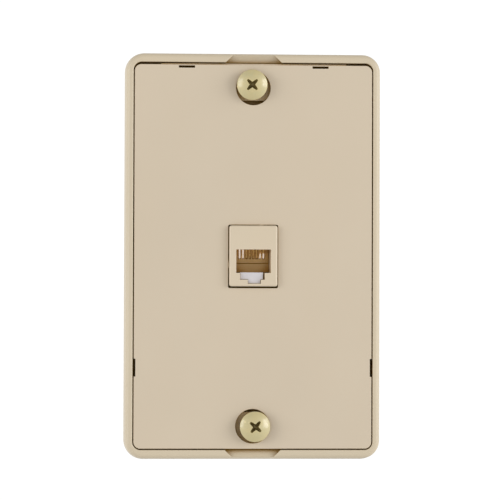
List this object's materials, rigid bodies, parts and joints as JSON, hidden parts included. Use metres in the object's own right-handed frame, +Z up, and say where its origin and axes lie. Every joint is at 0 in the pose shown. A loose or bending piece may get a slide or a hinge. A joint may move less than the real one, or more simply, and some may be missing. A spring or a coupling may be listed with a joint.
{
  "type": "wall plate cover",
  "caption": "Telephone wall plate with a raised rim, a snap-in face panel, a modular jack with screw terminals behind, and shoulder studs that a wall telephone hangs on.",
  "frame": {"origin": "centre of the wall plane that the base frame's back band rests on", "axes": "+Z up along the plate's height, +X to the right seen from the front, +Y into the wall, so the front faces -Y"},
  "size_m": [0.0762, 0.0302, 0.1206],
  "materials": {
    "rim_ivory": "satin moulded plastic",
    "panel_ivory": "finely textured moulded plastic",
    "jack_ivory": "satin moulded plastic",
    "carrier_tan": "satin moulded plastic",
    "white_plastic": "smooth moulded plastic",
    "yellow_zinc": "yellow zinc plating, semi-bright",
    "zinc_steel": "clear zinc plating",
    "terminal_brass": "machined brass",
    "contact_gold": "gold-plated wire",
    "lead_black": "pvc insulation",
    "lead_red": "pvc insulation",
    "lead_yellow": "pvc insulation",
    "lead_green": "pvc insulation"
  },
  "bodies": {
    "base": {"base_frame": "rim_ivory", "top_stud": "yellow_zinc", "bottom_stud": "yellow_zinc", "top_stud_nut": "zinc_steel", "bottom_stud_nut": "zinc_steel", "top_box_screw": "zinc_steel", "bottom_box_screw": "zinc_steel", "top_board_screw": "zinc_steel", "bottom_board_screw": "zinc_steel", "jack_housing": "jack_ivory", "latch_insert": "white_plastic", "contact_carrier": "carrier_tan", "rear_cap": "jack_ivory", "terminal_board": "jack_ivory", "spade_lug_1": "terminal_brass", "lead_black": "lead_black", "spade_lug_2": "terminal_brass", "lead_red": "lead_red", "spade_lug_3": "terminal_brass", "lead_yellow": "lead_yellow", "spade_lug_4": "terminal_brass", "lead_green": "lead_green"},
    "panel": {"face_panel": "panel_ivory"},
    "contacts": {"contact_wire_1": "contact_gold", "contact_wire_2": "contact_gold", "contact_wire_3": "contact_gold", "contact_wire_4": "contact_gold", "contact_wire_5": "contact_gold", "contact_wire_6": "contact_gold", "contact_wire_7": "contact_gold", "contact_wire_8": "contact_gold"},
    "terminal_1_washer": {"terminal_washer_1": "zinc_steel"},
    "terminal_1_screw": {"terminal_screw_1": "terminal_brass"},
    "terminal_2_washer": {"terminal_washer_2": "zinc_steel"},
    "terminal_2_screw": {"terminal_screw_2": "terminal_brass"},
    "terminal_3_washer": {"terminal_washer_3": "zinc_steel"},
    "terminal_3_screw": {"terminal_screw_3": "terminal_brass"},
    "terminal_4_washer": {"terminal_washer_4": "zinc_steel"},
    "terminal_4_screw": {"terminal_screw_4": "terminal_brass"}
  },
  "joints": [
    {"name": "panel_pull", "type": "slide", "parent": "base", "child": "panel", "axis": [0, -1, 0], "range_m": [0, 0.012]},
    {"name": "contact_flex", "type": "hinge", "parent": "base", "child": "contacts", "pos_m": [0.00005, -0.0044, 0.0034], "axis": [1, 0, 0], "range_deg": [0, 9], "stiffness_Nm_per_rad": 0.4},
    {"name": "terminal_1_lift", "type": "slide", "parent": "base", "child": "terminal_1_washer", "axis": [0, 1, 0], "range_m": [0, 0.0012]},
    {"name": "terminal_1_turn", "type": "hinge", "parent": "terminal_1_washer", "child": "terminal_1_screw", "pos_m": [-0.0145, 0.005, 0.009], "axis": [0, 1, 0], "range_deg": [0, 545]},
    {"name": "terminal_2_lift", "type": "slide", "parent": "base", "child": "terminal_2_washer", "axis": [0, 1, 0], "range_m": [0, 0.0012]},
    {"name": "terminal_2_turn", "type": "hinge", "parent": "terminal_2_washer", "child": "terminal_2_screw", "pos_m": [0.0145, 0.005, 0.009], "axis": [0, 1, 0], "range_deg": [0, 545]},
    {"name": "terminal_3_lift", "type": "slide", "parent": "base", "child": "terminal_3_washer", "axis": [0, 1, 0], "range_m": [0, 0.0012]},
    {"name": "terminal_3_turn", "type": "hinge", "parent": "terminal_3_washer", "child": "terminal_3_screw", "pos_m": [-0.0145, 0.005, -0.009], "axis": [0, 1, 0], "range_deg": [0, 545]},
    {"name": "terminal_4_lift", "type": "slide", "parent": "base", "child": "terminal_4_washer", "axis": [0, 1, 0], "range_m": [0, 0.0012]},
    {"name": "terminal_4_turn", "type": "hinge", "parent": "terminal_4_washer", "child": "terminal_4_screw", "pos_m": [0.0145, 0.005, -0.009], "axis": [0, 1, 0], "range_deg": [0, 545]}
  ],
  "couplings": [
    {"joint": "terminal_1_turn", "follows": "terminal_1_lift", "rad_per_m": 7913.3},
    {"joint": "terminal_2_turn", "follows": "terminal_2_lift", "rad_per_m": 7913.3},
    {"joint": "terminal_3_turn", "follows": "terminal_3_lift", "rad_per_m": 7913.3},
    {"joint": "terminal_4_turn", "follows": "terminal_4_lift", "rad_per_m": 7913.3}
  ]
}
